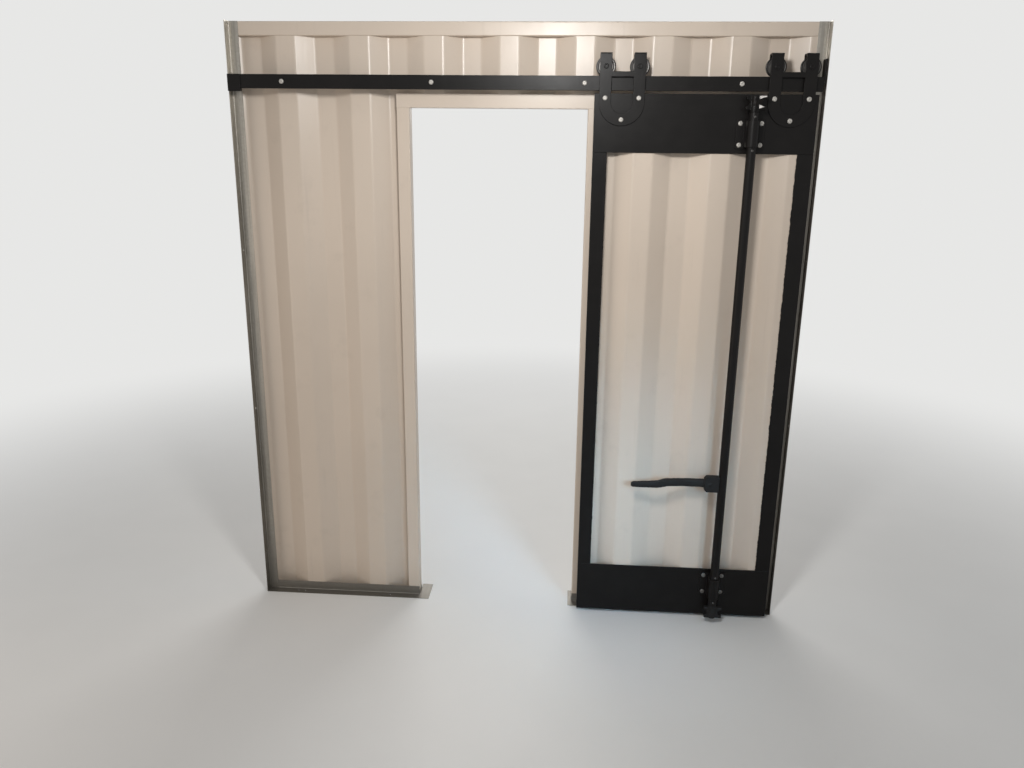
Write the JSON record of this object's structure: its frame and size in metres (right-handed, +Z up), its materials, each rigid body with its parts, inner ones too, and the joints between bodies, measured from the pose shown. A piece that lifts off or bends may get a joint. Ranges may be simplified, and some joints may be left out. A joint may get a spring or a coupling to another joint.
{
  "type": "sliding barn door in a corrugated steel partition wall",
  "caption": "Corrugated steel partition wall with a framed doorway and a top-hung sliding steel door on a flat track, with horseshoe wheel hangers and a lock rod with a handle.",
  "frame": {"origin": "middle of the left jamb's foot, on the floor, in the middle of the wall's depth", "axes": "+X along the wall to the right, +Y through the wall from the door side to the back, +Z up"},
  "size_m": [2.18, 0.227, 2.335],
  "materials": {
    "cream_paint": "semi-gloss off-white paint on steel",
    "black_paint": "satin black paint on steel",
    "galvanised_steel": "spangled galvanised sheet",
    "zinc_bolt": "dull zinc-plated bolt heads",
    "forged_black": "black paint over forged steel"
  },
  "bodies": {
    "wall": {"header": "cream_paint", "wall_sheet_left": "cream_paint", "wall_sheet_over_door": "cream_paint", "wall_sheet_right": "cream_paint", "jamb_left": "cream_paint", "jamb_right": "cream_paint", "door_head": "cream_paint", "corner_angle_left": "galvanised_steel", "corner_angle_right": "galvanised_steel", "base_angle_left": "galvanised_steel", "base_angle_right": "galvanised_steel", "foot_plate_left": "galvanised_steel", "foot_plate_right": "galvanised_steel", "track": "black_paint", "track_spacers": "black_paint", "track_bolts": "zinc_bolt", "end_stop_left": "black_paint", "end_stop_right": "black_paint"},
    "door": {"leaf_top_plate": "black_paint", "leaf_bottom_plate": "black_paint", "leaf_stile_left": "black_paint", "leaf_stile_right": "black_paint", "leaf_sheet": "cream_paint", "hanger_left": "black_paint", "hanger_right": "black_paint", "hanger_bolts": "zinc_bolt", "wheel_axles": "black_paint", "upper_bracket": "black_paint", "lower_bracket": "black_paint", "bracket_bolts": "zinc_bolt"},
    "wheel_1": {"wheel_1": "black_paint"},
    "wheel_2": {"wheel_2": "black_paint"},
    "wheel_3": {"wheel_3": "black_paint"},
    "wheel_4": {"wheel_4": "black_paint"},
    "lock_rod": {"lock_rod": "black_paint", "upper_cam": "forged_black", "lower_cam": "forged_black", "handle_hub": "forged_black", "handle": "forged_black"}
  },
  "joints": [
    {"name": "door_slide", "type": "slide", "parent": "wall", "child": "door", "axis": [-1, 0, 0], "range_m": [-0.008, 1.29]},
    {"name": "rod_turn", "type": "hinge", "parent": "door", "child": "lock_rod", "pos_m": [1.271, -0.143, 0.62], "axis": [0, 0, 1], "range_deg": [0, 100]},
    {"name": "wheel_1_spin", "type": "hinge", "parent": "door", "child": "wheel_1", "pos_m": [0.749, -0.083, 2.1773], "axis": [0, -1, 0], "range_deg": [-30, 2420]},
    {"name": "wheel_2_spin", "type": "hinge", "parent": "door", "child": "wheel_2", "pos_m": [0.869, -0.083, 2.1773], "axis": [0, -1, 0], "range_deg": [-30, 2420]},
    {"name": "wheel_3_spin", "type": "hinge", "parent": "door", "child": "wheel_3", "pos_m": [1.345, -0.083, 2.1773], "axis": [0, -1, 0], "range_deg": [-30, 2420]},
    {"name": "wheel_4_spin", "type": "hinge", "parent": "door", "child": "wheel_4", "pos_m": [1.465, -0.083, 2.1773], "axis": [0, -1, 0], "range_deg": [-30, 2420]}
  ],
  "couplings": [
    {"joint": "wheel_1_spin", "follows": "door_slide", "rad_per_m": 32.258},
    {"joint": "wheel_2_spin", "follows": "door_slide", "rad_per_m": 32.258},
    {"joint": "wheel_3_spin", "follows": "door_slide", "rad_per_m": 32.258},
    {"joint": "wheel_4_spin", "follows": "door_slide", "rad_per_m": 32.258}
  ]
}
